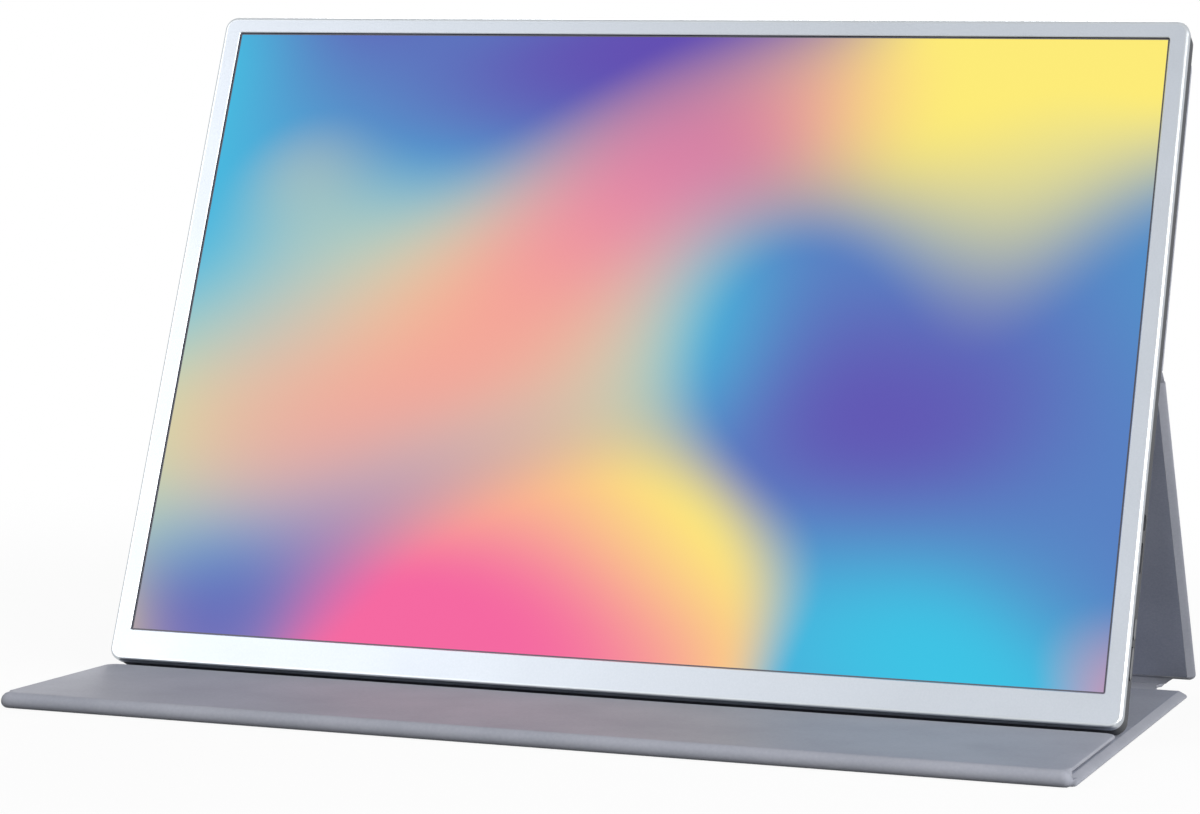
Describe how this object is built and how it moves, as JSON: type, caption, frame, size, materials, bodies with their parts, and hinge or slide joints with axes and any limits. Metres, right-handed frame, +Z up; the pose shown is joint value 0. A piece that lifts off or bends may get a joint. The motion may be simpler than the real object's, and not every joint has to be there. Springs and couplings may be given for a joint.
{
  "type": "portable monitor with cover",
  "caption": "Slim portable monitor leaning in a folded leather cover whose leg props it and whose front lip stops its lower edge.",
  "frame": {"origin": "centre of the base panel's underside, on the table", "axes": "+X to the viewer's right along the screen's width, +Y away from the viewer, +Z up"},
  "size_m": [0.3096, 0.1967, 0.2032],
  "materials": {
    "frame_aluminium": "satin anodised",
    "screen_picture": "lit display film",
    "panel_glass": "clear",
    "foam": "closed-cell foam",
    "white_film": "diffuse film",
    "acrylic": "clear moulded",
    "tray_metal": "stamped sheet",
    "circuit": "solder mask",
    "chip": "moulded",
    "flex": "flat cable film",
    "socket_steel": "plated sheet",
    "black_plastic": "moulded",
    "shell_plastic": "fine moulded texture",
    "key_plastic": "smooth moulded",
    "glue": "adhesive sheet",
    "cover_leather": "fine grained",
    "cover_lining": "soft brushed lining",
    "cover_board": "pressed board",
    "magnet": "plated"
  },
  "bodies": {
    "base": {"base_skin": "cover_leather", "base_board": "cover_board", "base_lining": "cover_lining", "base_magnets": "magnet", "front_roll": "cover_leather"},
    "lip": {"lip_skin": "cover_leather", "lip_board": "cover_board", "lip_lining": "cover_lining", "lip_magnets": "magnet"},
    "spine": {"spine_strip": "cover_leather"},
    "leg": {"leg_skin": "cover_leather", "leg_board": "cover_board", "leg_lining": "cover_lining", "heel_fold": "cover_leather"},
    "power_button": {"power_button": "key_plastic"},
    "menu_rocker": {"menu_rocker": "key_plastic"},
    "monitor": {"front_frame": "frame_aluminium", "screen_film": "screen_picture", "lcd_glass": "panel_glass", "foam_tape": "foam", "diffuser_films": "white_film", "reflector_sheet": "white_film", "light_guide": "acrylic", "backlight_tray": "tray_metal", "driver_board": "circuit", "controller_board": "circuit", "port_board": "circuit", "led_strip": "circuit", "controller_chips": "chip", "push_switches": "chip", "display_cable": "flex", "port_cable": "flex", "usb_c_socket_right": "socket_steel", "usb_c_socket_left": "socket_steel", "mini_hdmi_socket": "socket_steel", "board_screws": "socket_steel", "rocker_pin": "socket_steel", "audio_jack": "black_plastic", "speaker_left": "black_plastic", "speaker_right": "black_plastic", "rear_cover": "shell_plastic", "adhesive_sheet": "glue", "plate_skin": "cover_leather", "back_fold": "cover_leather", "plate_lining": "cover_lining", "plate_board": "cover_board"}
  },
  "joints": [
    {"name": "lip_fold", "type": "hinge", "parent": "base", "child": "lip", "pos_m": [0, -0.09022, 0.00235], "axis": [1, 0, 0], "range_deg": [0, 180]},
    {"name": "base_fold", "type": "hinge", "parent": "base", "child": "spine", "pos_m": [0, 0.08897, 0.0011], "axis": [1, 0, 0], "range_deg": [-2, 0]},
    {"name": "heel_fold", "type": "hinge", "parent": "spine", "child": "leg", "pos_m": [0, 0.10297, 0.00159], "axis": [1, 0, 0], "range_deg": [-125.6, 0]},
    {"name": "monitor_fold", "type": "hinge", "parent": "leg", "child": "monitor", "pos_m": [0, 0.0269, 0.10036], "axis": [1, 0, 0], "range_deg": [0, 59.3]},
    {"name": "power_press", "type": "slide", "parent": "monitor", "child": "power_button", "axis": [-1, 0, 0], "range_m": [0, 0.0005], "stiffness_N_per_m": 800},
    {"name": "menu_rock", "type": "hinge", "parent": "monitor", "child": "menu_rocker", "pos_m": [0.1524, -0.01122, 0.02243], "axis": [0, 0.9291, -0.3697], "range_deg": [-6, 6], "stiffness_Nm_per_rad": 0.02}
  ],
  "couplings": [
    {"joint": "heel_fold", "follows": "monitor_fold", "ratio": -2.118},
    {"joint": "base_fold", "follows": "monitor_fold", "ratio": -0.033727}
  ]
}
